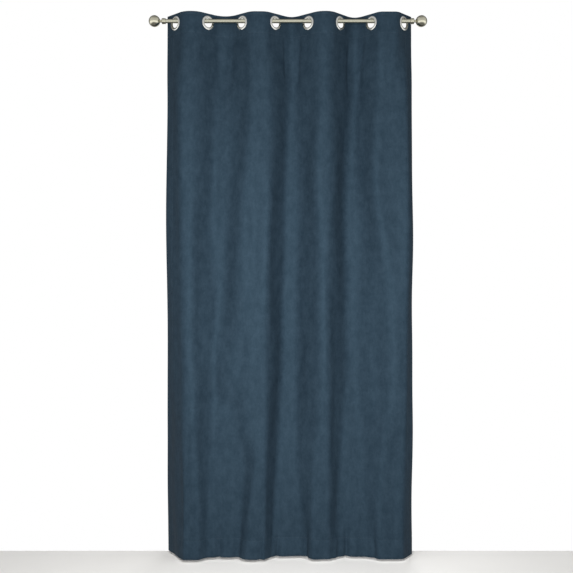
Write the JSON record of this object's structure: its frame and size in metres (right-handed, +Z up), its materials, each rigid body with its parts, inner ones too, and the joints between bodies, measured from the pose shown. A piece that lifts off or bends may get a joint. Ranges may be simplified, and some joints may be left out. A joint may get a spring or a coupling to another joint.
{
  "type": "eyelet thermal curtain and curtain rod",
  "caption": "Plain full-length thermal curtain hanging in soft folds from a round metal rod that runs through its eyelets, with a ball finial at each end of the rod.",
  "frame": {"origin": "middle of the rod's length, on its axis", "axes": "+X along the rod to the right as seen from the room, +Y away from the room towards the wall, +Z up"},
  "size_m": [1.331, 0.1823, 2.6021],
  "materials": {
    "curtain_cloth": "matt brushed suede look, dark petrol blue",
    "eyelet_metal": "satin nickel plate, bright rolled rim",
    "rod_metal": "satin nickel plate, slightly warm",
    "finial_metal": "satin nickel plate, slightly warm and a little glossier than the rod"
  },
  "bodies": {
    "root": {"curtain_panel": "curtain_cloth", "curtain_rod": "rod_metal", "finial_left": "finial_metal", "finial_right": "finial_metal", "eyelet_ring_1": "eyelet_metal", "eyelet_ring_2": "eyelet_metal", "eyelet_ring_3": "eyelet_metal", "eyelet_ring_4": "eyelet_metal", "eyelet_ring_5": "eyelet_metal", "eyelet_ring_6": "eyelet_metal", "eyelet_ring_7": "eyelet_metal", "eyelet_ring_8": "eyelet_metal"}
  },
  "joints": []
}
